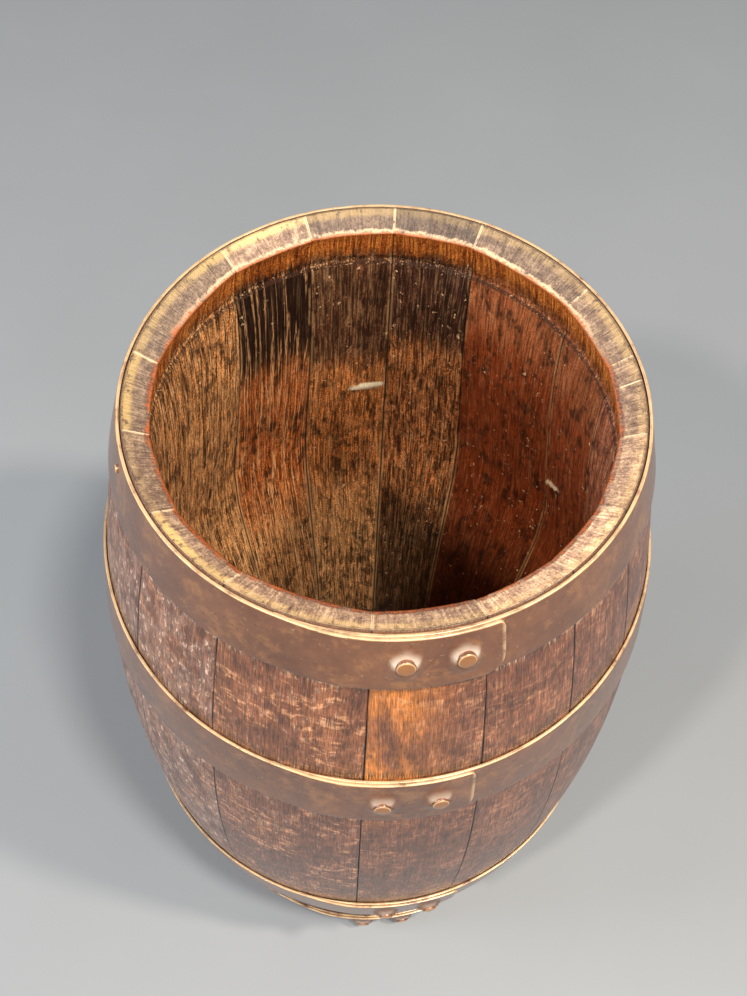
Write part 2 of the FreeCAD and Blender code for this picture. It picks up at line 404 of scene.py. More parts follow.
planks = {                              # inside colours, fibre contrast, and where the top colour ends
    "golden": {"top": (0.36, 0.150, 0.048), "middle": (0.43, 0.185, 0.060), "low": (0.42, 0.195, 0.068),
               "rough": 1.0, "change": 460 * mm},
    "sooty": {"top": (0.012, 0.004, 0.002), "middle": (0.40, 0.105, 0.022), "low": (0.46, 0.200, 0.068),
              "rough": 0.75, "change": 415 * mm},
    "ashen": {"top": (0.085, 0.034, 0.015), "middle": (0.50, 0.172, 0.044), "low": (0.58, 0.270, 0.098),
              "rough": 0.8, "change": 395 * mm},
    "charred": {"top": (0.055, 0.020, 0.010), "middle": (0.34, 0.120, 0.036), "low": (0.115, 0.050, 0.018),
                "rough": 0.9, "change": 425 * mm},
    "russet": {"top": (0.27, 0.078, 0.026), "middle": (0.23, 0.042, 0.008), "low": (0.13, 0.026, 0.006),
               "rough": 0.42, "change": 460 * mm},
    "wine": {"top": (0.30, 0.095, 0.048), "middle": (0.28, 0.080, 0.035), "low": (0.10, 0.020, 0.006),
             "rough": 0.7, "change": 460 * mm},
}
noChip = {"across": 0.0, "height": 9.0, "turn": 0.0, "half": 0.01, "thick": 0.01}      # out of reach
usualStave = {
    "tone": (0.15, 0.45, 0.2),          # orange glow, rubbed scratches and pale flecks outside
    "split": -9.0,                      # a fine split across the rim, here out of reach
    "chip": noChip,
}
staveFinish = {                         # rim is the end grain's brightness, partly the stave's own tone and partly painted light, darker at the back and brighter at the front right; gold is its pale outer band, partly painted highlight at the back and left
    "stave_01": {"plank": "russet", "rim": 0.96, "gold": 0.35, "tone": (1.0, 0.6, 0.1)},
    "stave_02": {"plank": "wine", "rim": 1.50, "gold": 0.2, "tone": (0.35, 0.4, 0.1)},
    "stave_03": {"plank": "golden", "rim": 1.66, "gold": 0.2},
    "stave_04": {"plank": "wine", "rim": 1.14, "gold": 0.2},
    "stave_05": {"plank": "wine", "rim": 0.84, "gold": 0.3, "split": 10 * mm},
    "stave_06": {"plank": "russet", "rim": 0.66, "gold": 0.45,
                 "chip": {"across": 27 * mm, "height": 356 * mm, "turn": -0.55,
                          "half": 15 * mm, "thick": 2.6 * mm}},
    "stave_07": {"plank": "russet", "rim": 0.48, "gold": 0.6},
    "stave_08": {"plank": "charred", "rim": 0.32, "gold": 0.7},
    "stave_09": {"plank": "ashen", "rim": 0.52, "gold": 0.7, "tone": (1.7, 0.4, 0.2),
                 "chip": {"across": -20 * mm, "height": 384 * mm, "turn": -0.06,
                          "half": 19 * mm, "thick": 3.3 * mm}},
    "stave_10": {"plank": "sooty", "rim": 1.05, "gold": 0.8, "tone": (2.0, 0.4, 0.2)},
    "stave_11": {"plank": "golden", "rim": 0.58, "gold": 1.0, "tone": (1.8, 0.4, 0.2)},
    "stave_12": {"plank": "golden", "rim": 0.58, "gold": 1.0},
    "stave_13": {"plank": "golden", "rim": 0.60, "gold": 0.15, "tone": (0.0, 0.5, 0.9)},
    "stave_14": {"plank": "ashen", "rim": 0.92, "gold": 1.0, "tone": (0.1, 0.6, 1.0)},
    "stave_15": {"plank": "russet", "rim": 0.96, "gold": 0.6, "tone": (0.12, 1.0, 0.25)},
}


def makeStaves(material):
    tree = staveTree()
    draw = np.random.default_rng(11)
    for number, node in enumerate(staveNodes):
        first, last = spanOf(node)
        finish = {**usualStave, **staveFinish[node]}
        plank = planks[finish["plank"]]
        chip = finish["chip"]
        seed = 1.7 * number + 0.4
        values = {
            "Joint": first, "Span": last - first, "Seed": seed,
            "Face Steps": int(barrel["bilgeRadius"] * (last - first) / stave["stepAcross"]),
            "End Loss": float(draw.uniform(0.0, 0.7)) * mm, "Lip": float(draw.uniform(-0.6, 0.8)) * mm,
            "Top Colour": (*plank["top"], 1), "Middle Colour": (*plank["middle"], 1),
            "Low Colour": (*plank["low"], 1),
            "Change High": plank["change"], "Change Low": stave["changeLow"], "Tone": finish["tone"],
            # Rim holds the rim brightness, partly painted light, the pale band's share, partly painted
            # highlight, and the split
            "Rim": (finish["rim"] * float(draw.uniform(0.9, 1.1)), finish["gold"], seed + finish["split"]),
            "Chip": (chip["across"], chip["height"], chip["turn"]),
            "Chip Size": (chip["half"], chip["thick"], plank["rough"]), "Material": material,
        }
        seated(grow(node + ".oak", tree, values), [node])
    print("staves:", len(staveNodes))


# Hoops

hoopLook = {
    "clearance": 0.15 * mm,
    "thickness": 2.0 * mm,
    "faceSteps": 12,
    "sideSteps": 4,
    "stepsAlong": 480,
    "edgeRound": 0.55 * mm,
    "topCorner": 4.0 * mm,
    "lowCorner": 12.0 * mm,
    "dive": 45.0 * mm,              # the strip steps down from its lap over this length
    "bossHeight": 3.3 * mm,         # the strip is drawn up round each rivet
    "bossRadius": 10.4 * mm,
    "bossTop": 6.2 * mm,
}


def hoopFacts(node):                            # heights, tilt and lap of a hoop, read from its CAD solid
    angle, radius, height = polar(node)
    front = np.abs(angle + math.pi / 2) < 0.2
    back = np.abs(angle - math.pi / 2) < 0.2
    frontMiddle = (height[front].max() + height[front].min()) / 2
    backMiddle = (height[back].max() + height[back].min()) / 2
    centre = (frontMiddle + backMiddle) / 2
    lapped = radius > bow(height, hoopLook["clearance"] + 1.5 * hoopLook["thickness"])
    lapAngles = angle[lapped]
    return {
        "Centre": centre,
        "Width": float(height[front].max() - height[front].min()),
        "Slope": (backMiddle - frontMiddle) / (2 * bow(centre)),
        "Lap End": float(lapAngles.max()),
        "Lap Span": float(lapAngles.max() - lapAngles.min()),
    }


def rivetSeats(node):                           # where each rivet of a node stands, and which way it points
    angle, radius, height = polar(node)
    order = np.argsort(angle)
    steps = np.diff(angle[order])
    cut = np.argmax(steps) + 1
    groups = [order]
    if steps.max() > 0.02:                      # a gap between two rivets; the nail has none
        groups = [order[:cut], order[cut:]]
    seats = []
    for group in groups:
        middleAngle = (angle[group].max() + angle[group].min()) / 2
        inward = group[radius[group] <= np.percentile(radius[group], 20)]
        middleHeight = (height[inward].max() + height[inward].min()) / 2
        slope = math.asin((middleHeight - barrel["middle"]) / barrel["bowRadius"])
        outward = Vector((math.cos(middleAngle) * math.cos(slope), math.sin(middleAngle) * math.cos(slope),
                          math.sin(slope)))
        foot = Vector((math.cos(middleAngle) * bow(middleHeight), math.sin(middleAngle) * bow(middleHeight),
                       middleHeight))
        seats.append((foot, outward))
    return seats


def hoopTree():
    inputs = {"Centre": "Float", "Width": "Float", "Slope": "Float", "Lap End": "Float", "Lap Span": "Float",
              "Seed": "Float", "Boss A": "Vector", "Boss B": "Vector", "Material": "Material"}
    tree, given = newTree("strip hoop", inputs)
    w = Wire(tree)
    faceSteps, sideSteps = hoopLook["faceSteps"], hoopLook["sideSteps"]
    around = 2 * (faceSteps + sideSteps)
    mesh, u, v = gridOf(tree, hoopLook["stepsAlong"] + 1, around + 1)
    across, depth = sectionOf(v * around, faceSteps, sideSteps)
    across = 1 - gathered(across, 0.75)          # the outer face runs from the top edge down
    depth = gathered(depth, 0.5)
    run = gathered(u, 0.6)                       # steps crowd at the strip's two ends
    radius = bow(given["Centre"])
    whole = given["Lap Span"] + hoopLook["dive"] / radius + 2 * math.pi
    turn = run * whole
    distance = turn * radius                     # along the strip, from its outer end
    angle = given["Lap End"] - turn
    thickness = hoopLook["thickness"]
    edgeRound = hoopLook["edgeRound"]
    fromTail = (1 - run) * whole * radius
    fromTip = distance.least(fromTail)

    halves = []
    for corner in (hoopLook["topCorner"], hoopLook["lowCorner"]):
        short = (corner - distance).most(0.0)
        halves.append(given["Width"] / 2 - corner + (corner * corner - short * short).most(0.0) ** 0.5)
    upper, lower = halves
    level = given["Centre"] + given["Slope"] * radius * angle.sine()
    edge = across.least(1 - across) * (upper + lower)
    sideFall = roundedEdge(depth.least(1 - depth) * thickness, edgeRound)
    height = level - lower + sideFall + across * (upper + lower - sideFall * 2)

    seeded = w.vector(radius * angle.cosine() + given["Seed"], radius * angle.sine(), height)
    dents = (seeded.noise(38.0, 2.0) - 0.5) * 2.0
    waves = (seeded.noise(13.0, 1.0) - 0.5) * 2.0
    lapLength = given["Lap Span"] * radius
    onTop = distance.ramp(lapLength, lapLength + hoopLook["dive"], 1.0, 0.0)
    under = distance - radius * (2 * math.pi)    # how far the tail has gone beneath the strip's outer end
    thinned = under.ramp(lapLength, lapLength + hoopLook["dive"], 1.0, 0.06).least(1.0)
    base = hoopLook["clearance"] + onTop * thickness
    fall = roundedEdge(edge, edgeRound) + roundedEdge(distance, edgeRound)
    spring = dents * (0.12 * mm) + waves * (0.12 * mm)
    boss = 0.0
    upside = 0.0
    for label in ("Boss A", "Boss B"):
        bossAngle, bossHeight, _ = given[label].parts()
        sideways = (given["Lap End"] - turn - bossAngle) * radius
        upward = height - bossHeight
        away = (sideways * sideways + upward * upward) ** 0.5
        raised = away.ramp(hoopLook["bossRadius"], hoopLook["bossTop"])
        boss = raised * hoopLook["bossHeight"] + boss
        # the upper side of each boss, kept for the painted highlight on it
        upside = raised * (upward / away).ramp(-0.2, 0.8) + upside
    outerLayer = base + thickness * thinned - fall + spring + boss
    innerLayer = base + (fall + spring).least(thickness * 0.4)
    offset = outerLayer + (innerLayer - outerLayer) * depth
    reach = bow(height, offset)
    place = w.vector(reach * angle.cosine(), reach * angle.sine(), height)
    mesh = w.node("GeometryNodeSetPosition", None, {"Geometry": mesh, "Position": place})
    grain = w.vector(distance + given["Seed"], (across - 0.5) * given["Width"], offset)
    mesh = keep(tree, mesh, "grain", grain)
    mesh = keep(tree, mesh, "spot", w.vector((1 - across) * given["Width"], edge, fromTip))
    mesh = keep(tree, mesh, "layer", w.vector(depth, upside, boss * (1 / hoopLook["bossHeight"])))
    closeTree(tree, mesh, given["Material"])
    return tree


def makeHoops(material, hoops):
    tree = hoopTree()
    for number, (node, facts) in enumerate(hoops.items()):
        seats = rivetSeats(node.replace("_hoop", "_rivets"))
        for label, (foot, outward) in zip(("Boss A", "Boss B"), seats):
            facts[label] = (math.atan2(foot.y, foot.x), foot.z, 0.0)
        facts.update({"Seed": 2.3 * number + 0.9, "Material": material})
        seated(grow(node + ".iron", tree, facts), [node])
    print("hoops:", len(hoops))


# Rivets and the nail

rivetLook = {
    "radius": 5.3 * mm,
    "height": 4.75 * mm,
    "crownRound": 0.9 * mm,
    "sink": 4.0 * mm,
    "steps": 44,
    "rings": 26,
}
nailLook = {"radius": 2.6 * mm, "height": 1.1 * mm, "sink": 2.0 * mm}


def pinTree():
    inputs = {"Radius": "Float", "Height": "Float", "Sink": "Float", "Seed": "Float", "Material": "Material"}
    tree, given = newTree("hammered heads", inputs)
    w = Wire(tree)
    mesh, u, v = gridOf(tree, rivetLook["steps"] + 1, rivetLook["rings"] + 1)
    turn = u * (2 * math.pi)
    walk = v * (given["Sink"] + given["Height"] + given["Radius"])   # up the side, then in over the crown
    side = walk.least(given["Sink"] + given["Height"])
    pastSide = walk - given["Sink"] - given["Height"]
    over = pastSide.most(0.0)
    soft = rivetLook["crownRound"]
    corner = pastSide / soft
    near = (1 - corner * corner).most(0.0)
    reach = given["Radius"] - over - near * near * (0.3 * soft)
    rise = side - given["Sink"] - near * near * (0.3 * soft)
    around = w.vector(turn.cosine(), turn.sine(), walk * 60.0 + given["Seed"])
    hammer = (around.noise(1.6, 2.0) - 0.5) * 2.0
    reach = reach * (1 + hammer * 0.045)
    dome = (1 - (reach / given["Radius"]) ** 2.0).most(0.0) * (0.5 * mm)
    rise = rise + (dome + hammer * (0.2 * mm)) * over.above(0.0)
    place = w.vector(reach * turn.cosine(), reach * turn.sine(), rise)
    head = w.node("GeometryNodeSetPosition", None, {"Geometry": mesh, "Position": place})
    head = keep(tree, head, "layer", w.vector(rise, reach, over))
    aim = w.node("GeometryNodeInputNamedAttribute", {"data_type": "FLOAT_VECTOR"}, {"Name": "outward"})
    turned = w.node("FunctionNodeAlignRotationToVector", {"axis": "Z"}, {"Vector": aim})
    heads = w.node("GeometryNodeInstanceOnPoints", None,
                   {"Points": given["Geometry"], "Instance": head, "Rotation": turned})
    heads = w.node("GeometryNodeRealizeInstances", None, {"Geometry": heads})
    closeTree(tree, heads, given["Material"])
    return tree


def pinPoints(name, seats, lift):               # a mesh of bare points, each with the way its pin faces
    points = bpy.data.meshes.new(name)
    points.from_pydata([foot + outward * lift for foot, outward in seats], [], [])
    aims = points.attributes.new("outward", "FLOAT_VECTOR", "POINT")
    aims.data.foreach_set("vector", [value for _, outward in seats for value in outward])
    return points


def makePins(material):
    tree = pinTree()
    lapFace = hoopLook["clearance"] + 2 * hoopLook["thickness"]
    for number, node in enumerate(rivetNodes):
        points = pinPoints(node, rivetSeats(node), lapFace)
        values = {"Radius": rivetLook["radius"], "Height": rivetLook["height"], "Sink": rivetLook["sink"],
                  "Seed": 3.7 * number, "Material": material}
        seated(grow(node + ".iron", tree, values, points), [node])
    points = pinPoints("nail", rivetSeats("hoop_nail"), hoopLook["clearance"] + hoopLook["thickness"])
    values = {"Radius": nailLook["radius"], "Height": nailLook["height"], "Sink": nailLook["sink"],
              "Seed": 0.4, "Material": material}
    seated(grow("hoop_nail.iron", tree, values, points), ["hoop_nail"])
    print("rivets:", 2 * len(rivetNodes), "and a nail")


# Head

boardLook = {
    "arris": 0.8 * mm,
    "weld": 0.01 * mm,
    "sharp": 40,                        # degrees; edges sharper than this are rounded
    "stops": [(0.30, (0.024, 0.010, 0.004)), (0.50, (0.065, 0.030, 0.012)), (0.72, (0.125, 0.062, 0.028))],
}


def makeBoards(material):
    for node in boardNodes:
        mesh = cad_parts[node].data.copy()
        mesh.name = node
        board = bpy.data.objects.new(node + ".oak", mesh)
        scene.collection.objects.link(board)
        weld = board.modifiers.new("weld", "WELD")
        weld.merge_threshold = boardLook["weld"]
        soften = board.modifiers.new("arris", "BEVEL")
        soften.width = boardLook["arris"]
        soften.segments = 2
        soften.limit_method = "ANGLE"
        soften.angle_limit = math.radians(boardLook["sharp"])
        made = bpy.data.meshes.new_from_object(board.evaluated_get(bpy.context.evaluated_depsgraph_get()))
        board.modifiers.clear()
        board.data = made
        made.materials.clear()
        made.materials.append(material)
        seated(board, [node])
    print("head boards:", len(boardNodes))


# Materials

def newMaterial(name):
    material = bpy.data.materials.new(name)
    material.use_nodes = True
    tree = material.node_tree
    tree.nodes.clear()
    return material, Wire(tree)


def finishMaterial(w, colour, roughness, metallic, bump, constants):
    sockets = {"Base Color": colour, "Roughness": roughness, "Metallic": metallic, **constants}
    if bump is not None:
        sockets["Normal"] = w.node("ShaderNodeBump", None, {"Height": bump, "Distance": mm, "Strength": 1.0})
    surface = w.node("ShaderNodeBsdfPrincipled", None, sockets)
    output = w.tree.nodes.new("ShaderNodeOutputMaterial")
    w.tree.links.new(surface.socket, output.inputs["Surface"])


def lines(noise, width):                        # thin curving lines where a noise crosses its middle
    return (noise - 0.5).absolute().ramp(width, width * 0.3)


oakLook = {
    "outside": [(0.37, (0.070, 0.023, 0.011)), (0.50, (0.152, 0.053, 0.026)), (0.63, (0.290, 0.112, 0.055))],
    "glow": (0.62, 0.205, 0.026),
    "glowSide": (58 * mm, 12 * mm),         # the glow fades in between these, across the front
    "glowHeight": (360 * mm, 420 * mm),
    "scratch": (0.60, 0.30, 0.15),
    "bloom": (0.32, 0.20, 0.15),            # pale ground that the flecks lie on
    "fleck": (0.70, 0.48, 0.36),
    "openPore": (0.026, 0.010, 0.007),
    "rubbedPore": (0.62, 0.36, 0.22),
    "outerArris": (0.20, 0.105, 0.064),
    "raisedFibre": (0.86, 0.64, 0.44),      # just under each hoop
    "darkTicksOverHoop": (0.020, 0.009, 0.006),  # just over each hoop
    "seam": (0.010, 0.005, 0.004),
    "soot": (0.018, 0.006, 0.003),
    "darkHair": (0.010, 0.004, 0.002),
    "paleHair": (0.86, 0.56, 0.28),
    "sawn": (0.92, 0.50, 0.22),
    "flake": (0.90, 0.62, 0.36),
    "innerScratch": (0.80, 0.50, 0.26),
    "innerEdge": (0.64, 0.38, 0.18),
    "innerSeam": (0.012, 0.006, 0.004),
    "chip": (1.0, 0.88, 0.62),
    "inWall": (0.02, 0.012, 0.008),
}
howelLook = {
    "stops": [(0.41, (0.040, 0.009, 0.002)), (0.49, (0.38, 0.085, 0.010)), (0.57, (0.98, 0.37, 0.07))],
    # pitch: a darker lower howel, and painted shade at the groove's foot and the ledge
    "pitch": (0.030, 0.010, 0.004),
    "fleck": (0.80, 0.48, 0.24),
    "lipGlow": (0.70, 0.19, 0.030),
}
chimeLook = {
    "stops": [(0.38, (0.090, 0.052, 0.036)), (0.49, (0.235, 0.145, 0.098)), (0.60, (0.56, 0.385, 0.245))],
    # pale outer band, partly painted highlight
    "paleBandAndHighlight": (0.74, 0.50, 0.20),
    "joint": (0.68, 0.50, 0.32),
    "split": (0.82, 0.60, 0.40),
    # painted highlight along the back lip
    "lipHighlight": (0.60, 0.42, 0.265),
    "brownLip": (0.17, 0.050, 0.026),
    "redLip": (0.25, 0.052, 0.007),
    "lipPit": (0.05, 0.018, 0.010),
    "underLip": (0.36, 0.085, 0.016),
    "outerEdge": (0.20, 0.11, 0.065),
}


def oakPatterns(w):                             # what the stave tree stored, and shared noises
    p = SimpleNamespace()
    p.grain = w.stored("grain")
    p.place = w.stored("where")
    p.plank = w.stored("plank", "Color")
    p.depth, p.fromEnd, p.edge = w.stored("spot").parts()
    p.glow, p.rubbing, p.flecking = w.stored("tone").parts()
    p.rim, p.gold, p.split = w.stored("rim").parts()
    p.chip, p.rough, _ = w.stored("chip").parts()
    p.x, p.y, p.z = p.place.parts()
    p.across, _, p.height = p.grain.parts()
    p.pores = p.grain.streaks(1700, 1700, 95, 3.0, 0.65)
    p.fibres = p.grain.streaks(620, 620, 16, 4.0, 0.65)
    p.crossed = p.grain.streaks(720, 720, 55, 5.0, 0.75)
    p.clouds = p.grain.streaks(26, 26, 14, 4.0, 0.6)
    p.blots = p.grain.moved(0, 0, 7).streaks(70, 70, 38, 4.0, 0.65)
    p.patches = p.grain.moved(2, 0, 1).streaks(150, 150, 75, 5.0, 0.7, 0.4)
    p.grit = p.place.streaks(800, 800, 800, 3.0, 0.7)
    return p


def oakOutside(p, hoops):                       # varnished and worn
    look = oakLook
    colour = (p.fibres * 0.25 + p.clouds * 0.35 + p.blots * 0.4).coloured(look["outside"])
    glowing = p.glow * p.glow.below(1.3) * p.x.ramp(*look["glowSide"]) * p.height.ramp(*look["glowHeight"])
    colour = colour.mixed(look["glow"], glowing * p.clouds.ramp(0.30, 0.58) * 0.75)
    flame = p.grain.moved(0, 0, 3).streaks(75, 75, 190, 4.0, 0.6, 0.9).ramp(0.52, 0.62)
    scratched = flame * p.rubbing * p.clouds.ramp(0.42, 0.56) * p.pores.ramp(0.36, 0.50)
    colour = colour.mixed(look["scratch"], scratched * 0.8)
    flecks = p.grain.moved(0, 0, 5).streaks(230, 230, 110, 3.0, 0.7).ramp(0.56, 0.62)
    colour = colour.mixed(look["bloom"], p.flecking.ramp(0.3, 0.9) * p.blots.ramp(0.40, 0.60) * 0.55)
    colour = colour.mixed(look["fleck"], flecks * p.flecking * p.blots.ramp(0.40, 0.55) * 0.9)
    shine = p.fibres.ramp(0.36, 0.66, 0.78, 1.22, "LINEAR") * p.pores.ramp(0.36, 0.64, 0.50, 1.50, "LINEAR")
    colour = colour.shaded(shine * p.patches.ramp(0.36, 0.64, 0.68, 1.36, "LINEAR"))
    colour = colour.mixed(look["openPore"], p.pores.ramp(0.42, 0.36) * p.patches.ramp(0.56, 0.44) * 0.75)
    colour = colour.mixed(look["rubbedPore"], p.pores.ramp(0.60, 0.66) * p.patches.ramp(0.50, 0.60) * 0.5)
    colour = colour.mixed(look["outerArris"], p.fromEnd.ramp(4 * mm, 2 * mm) * 0.85)
    ticks = p.grain.moved(0, 0, 11).streaks(1100, 1100, 60, 2.0)
    for facts in hoops.values():
        level = p.z - facts["Centre"] - p.y * facts["Slope"]
        under = level * -1 - facts["Width"] / 2
        over = level - facts["Width"] / 2
        raised = ticks.ramp(0.55, 0.60) * under.above(0.0) * under.ramp(9 * mm, 2 * mm)
        colour = colour.mixed(look["raisedFibre"], raised * p.patches.ramp(0.42, 0.54) * 0.75)
        # dark ticks just over each hoop
        darkOverHoop = ticks.ramp(0.50, 0.45) * over.above(0.0) * over.ramp(13 * mm, 3 * mm)
        colour = colour.mixed(look["darkTicksOverHoop"], darkOverHoop * 0.9)
    seam = p.edge.ramp(0.65 * mm, 0.25 * mm) * p.grain.streaks(3, 1, 12, 2.0).ramp(0.36, 0.60, 0.2, 1.0)
    return colour.mixed(look["seam"], seam)


def oakInside(w, p):                            # bare planks, each sawn and stained in its own way
    look = oakLook
    contrast = p.crossed.ramp(0.40, 0.60, 0.26, 1.85, "LINEAR")
    contrast = contrast * p.grit.ramp(0.38, 0.62, 0.22, 1.85, "LINEAR")
    contrast = contrast * p.patches.ramp(0.38, 0.62, 0.72, 1.3, "LINEAR")
    colour = p.plank.shaded(contrast * p.rough + (1 - p.rough))
    colour = colour.mixed(look["soot"], (p.blots * 0.5 + p.patches * 0.5).ramp(0.50, 0.40) * 0.75)
    hair = p.grain.moved(0, 0, 9).streaks(840, 840, 36, 3.0, 0.62)
    colour = colour.mixed(look["darkHair"], hair.ramp(0.48, 0.41) * p.rough * 0.85)
    paleHair = hair.ramp(0.55, 0.60) * p.plank.root() * p.rough * p.patches.ramp(0.40, 0.56, 0.35, 1.0)
    colour = colour.mixed(look["paleHair"], paleHair)
    sawn = lines(p.grain.streaks(170, 0, 5, 1.0), 0.030) * p.glow.ramp(1.6, 2.0) * p.pores.ramp(0.40, 0.54)
    colour = colour.mixed(look["sawn"], sawn * p.height.ramp(500 * mm, 380 * mm, 0.45, 0.9))
    flakes = p.place.streaks(240, 240, 180, 4.0, 0.65).ramp(0.64, 0.68) * p.clouds.ramp(0.44, 0.56)
    colour = colour.mixed(look["flake"], flakes * 0.85)
    slanted = w.vector(p.across * 0.80 + p.height * 0.60, 0.0, p.height * 0.80 - p.across * 0.60)
    scratched = slanted.streaks(430, 0, 26, 2.0, 0.5).ramp(0.64, 0.70) * p.clouds.ramp(0.46, 0.58)
    scratched = scratched * p.glow.ramp(1.5, 1.8) * p.glow.ramp(2.0, 1.9)
    colour = colour.mixed(look["innerScratch"], scratched * 0.7)
    worn = p.blots.ramp(0.46, 0.56) * 0.30 + p.height.ramp(360 * mm, 220 * mm) * 0.32
    colour = colour.mixed(look["innerEdge"], p.edge.ramp(2.6 * mm, 1.4 * mm) * worn)
    colour = colour.mixed(look["innerSeam"], p.edge.ramp(0.7 * mm, 0.3 * mm) * 0.6)
    return colour.mixed(look["chip"], p.chip * p.grit.ramp(0.26, 0.40) * 2.4)


def oakHowel(p, inside):                        # the hollowed band under the lip, and the groove below it
    look = howelLook
    colour = (p.fibres * 0.3 + p.crossed * 0.35 + p.grit * 0.35).coloured(look["stops"])
    # darker towards the howel's foot
    darkerTowardsFoot = p.fromEnd.ramp(14 * mm, 33 * mm) * (p.blots.ramp(0.4, 0.6) * 0.5 + 0.35)
    colour = colour.mixed(look["pitch"], darkerTowardsFoot)
    colour = colour.mixed(inside, (p.fromEnd + (p.crossed - 0.5) * (60 * mm)).ramp(29 * mm, 34 * mm))
    # painted shade over the foot of the croze groove and the ledge below it, which face up to the lamps
    colour = colour.mixed(look["pitch"], p.fromEnd.ramp(37.0 * mm, 37.9 * mm) * 0.75)
    flecks = p.grit.ramp(0.58, 0.64) * p.fromEnd.ramp(27 * mm, 36 * mm) * p.blots.ramp(0.44, 0.54)
    colour = colour.mixed(look["fleck"], flecks * 0.8)
    return colour.mixed(look["lipGlow"], p.fromEnd.ramp(14 * mm, 8.6 * mm) * p.grit.ramp(0.38, 0.52) * 0.8)


def oakChime(w, p):                             # end grain on the bevel, and the lip inside it
    look = chimeLook
    rays = p.grain.streaks(800, 110, 110, 4.0, 0.65)
    mottle = p.place.streaks(150, 150, 150, 5.0, 0.75)
    colour = (rays * 0.25 + mottle * 0.45 + p.grit * 0.3).coloured(look["stops"])
    paler = p.grain.moved(4, 0, 0).streaks(16, 1, 1, 1.0).ramp(0.40, 0.58) * 0.45 + 0.55
    # pale outer band: partly the end grain's own colour, partly painted highlight where the bevel faces the
    # lamps at the back and left
    paleBandAndHighlight = p.depth.ramp(8.0 * mm, 4.5 * mm) * p.gold * paler * (mottle * 0.6 + rays * 0.4).ramp(0.38, 0.50)
    # rim brightness per stave: partly its own tone, partly painted light, darker at the back and brighter at
    # the front right
    colour = colour.mixed(look["paleBandAndHighlight"], paleBandAndHighlight).shaded(p.rim)
    colour = colour.mixed(look["joint"], p.edge.ramp(0.85 * mm, 0.40 * mm) * mottle.ramp(0.36, 0.46) * 0.85)
    colour = colour.mixed(look["split"], (p.across - p.split).absolute().ramp(0.6 * mm, 0.2 * mm) * 0.8)
    redLip = w.tint(*look["brownLip"]).mixed(look["redLip"], p.x.ramp(-10 * mm, -90 * mm))
    redLip = redLip.mixed(look["lipPit"], p.grit.ramp(0.52, 0.44) * 0.7)
    # painted highlight along the lip at the back; towards the front the lip is red-brown, redder on the left
    lip = w.tint(*look["lipHighlight"]).mixed(redLip, p.y.ramp(90 * mm, 20 * mm))
    onLip = (p.fromEnd + (mottle - 0.5) * (3 * mm)).ramp(6.1 * mm, 6.8 * mm)
    colour = colour.mixed(lip, onLip * (mottle * 0.5 + p.clouds * 0.5).ramp(0.40, 0.52) * 0.9)
    underLip = (p.fromEnd + (mottle - 0.5) * (5 * mm)).ramp(7.2 * mm, 7.7 * mm)
    colour = colour.mixed(look["underLip"], underLip * 0.8)
    return colour.mixed(look["outerEdge"], p.depth.ramp(1.2 * mm, 0.4 * mm) * 0.6)


def oakMaterial(hoops):
    material, w = newMaterial("old oak")
    p = oakPatterns(w)
    inside = oakInside(w, p)
    onOutside = p.depth.ramp(2.4 * mm, 1.4 * mm)
    onChime = p.fromEnd.ramp(8.8 * mm, 8.2 * mm) * p.depth.ramp(0.5 * mm, 1.2 * mm)
    onHowel = (p.fromEnd + (p.grit - 0.5) * (3 * mm)).ramp(40.5 * mm, 39.3 * mm)
    onHowel = onHowel * p.depth.ramp(6 * mm, 10 * mm)
    inWall = p.depth.ramp(2.0 * mm, 3.0 * mm) * p.depth.ramp(19 * mm, 17 * mm)
    inWall = inWall * p.edge.ramp(0.9 * mm, 0.5 * mm)
    colour = inside.mixed(oakLook["inWall"], inWall)
    colour = colour.mixed(oakHowel(p, inside), onHowel)
    colour = colour.mixed(oakOutside(p, hoops), onOutside)
    colour = colour.mixed(oakChime(w, p), onChime)
    roughness = p.crossed * 0.25 + p.clouds * 0.2 + 0.24
    relief = p.pores * 0.5 + p.fibres * 0.9 + p.grit * 0.3 + p.crossed * 0.3
    varnish = {"Coat Weight": onOutside * 0.35, "Coat Roughness": 0.22}
    finishMaterial(w, colour, roughness, 0.0, relief, varnish)
    print("oak material")
    return material


ironLook = {
    "stops": [(0.30, (0.085, 0.034, 0.019)), (0.50, (0.160, 0.068, 0.036)), (0.72, (0.250, 0.112, 0.056))],
    "rust": (0.34, 0.16, 0.055),
    "pit": (0.045, 0.020, 0.012),
    "speck": (0.42, 0.25, 0.15),
    # rubbed bright edges; along the top edge partly a painted highlight
    "rubbedEdgeAndHighlight": (0.56, 0.385, 0.215),
    "boss": (0.30, 0.145, 0.075),
    # painted highlight on the upper side of each boss
    "paintedBossHighlight": (1.0, 0.88, 0.74),
    "crown": (0.36, 0.155, 0.045),
    "crownEdge": (0.66, 0.42, 0.22),
}


